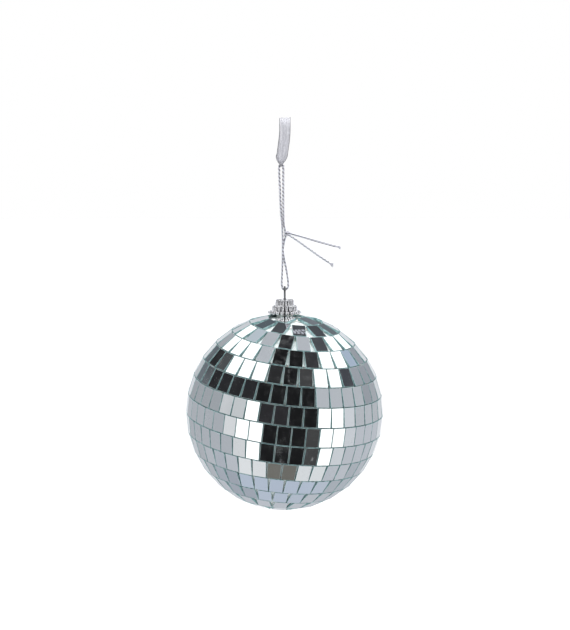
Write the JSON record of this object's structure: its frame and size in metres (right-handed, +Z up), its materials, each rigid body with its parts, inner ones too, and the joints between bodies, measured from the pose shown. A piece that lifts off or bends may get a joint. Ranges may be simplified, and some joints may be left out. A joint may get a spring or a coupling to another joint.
{
  "type": "mirror ball ornament",
  "caption": "Hanging mirror ball: rows of flat mirror tiles on a hollow ball, with a fluted crown cap, spring-wire eye, knotted tinsel cord loop and ribbon loop.",
  "frame": {"origin": "inside top of the ribbon loop, where the rod or hook carries the ornament; the ball's centre hangs 148.5 mm below it", "axes": "+Z up along the hanging line, -Y towards the viewer who sees the knot's two tails point to +X, +X along the rod"},
  "size_m": [0.1002, 0.1002, 0.1987],
  "materials": {
    "mirror_glass": "polished",
    "backing_cloth": "matte",
    "white_glue": "matte",
    "core_plastic": "satin",
    "silvered_crown": "polished",
    "spring_wire": "polished",
    "tinsel_cord": "gloss",
    "sheer_ribbon": "satin"
  },
  "bodies": {
    "ribbon": {"ribbon_loop": "sheer_ribbon"},
    "cord": {"cord_loop": "tinsel_cord", "cord_knot": "tinsel_cord", "cord_tail_upper": "tinsel_cord", "cord_tail_lower": "tinsel_cord", "frayed_tip_upper": "tinsel_cord", "frayed_tip_lower": "tinsel_cord"},
    "hanger": {"hanger_wire": "spring_wire"},
    "ball": {"crown_cap": "silvered_crown", "shell_upper": "core_plastic", "shell_lower": "core_plastic", "glue_layer": "white_glue", "bottom_tiles": "mirror_glass", "bottom_patch": "backing_cloth", "tile_row_01": "mirror_glass", "tile_row_02": "mirror_glass", "tile_row_03": "mirror_glass", "tile_row_04": "mirror_glass", "tile_row_05": "mirror_glass", "tile_row_06": "mirror_glass", "tile_row_07": "mirror_glass", "tile_row_08": "mirror_glass", "tile_row_09": "mirror_glass", "tile_row_10": "mirror_glass", "tile_row_11": "mirror_glass", "tile_row_12": "mirror_glass", "tile_row_13": "mirror_glass", "tile_row_14": "mirror_glass", "tile_row_15": "mirror_glass", "cloth_strip_01": "backing_cloth", "cloth_strip_02": "backing_cloth", "cloth_strip_03": "backing_cloth", "cloth_strip_04": "backing_cloth", "cloth_strip_05": "backing_cloth", "cloth_strip_06": "backing_cloth", "cloth_strip_07": "backing_cloth", "cloth_strip_08": "backing_cloth", "cloth_strip_09": "backing_cloth", "cloth_strip_10": "backing_cloth", "cloth_strip_11": "backing_cloth", "cloth_strip_12": "backing_cloth", "cloth_strip_13": "backing_cloth", "cloth_strip_14": "backing_cloth", "cloth_strip_15": "backing_cloth"}
  },
  "joints": [
    {"name": "cord_swing", "type": "hinge", "parent": "ribbon", "child": "cord", "pos_m": [-0.00175, 0, -0.0244], "axis": [0, 1, 0], "range_deg": [-80, 80]},
    {"name": "wire_swing", "type": "hinge", "parent": "cord", "child": "hanger", "pos_m": [0, 0, -0.0864], "axis": [1, 0, 0], "range_deg": [-80, 80]},
    {"name": "ball_spin", "type": "hinge", "parent": "hanger", "child": "ball", "pos_m": [0, 0, -0.1485], "axis": [0, 0, 1], "continuous": true}
  ]
}
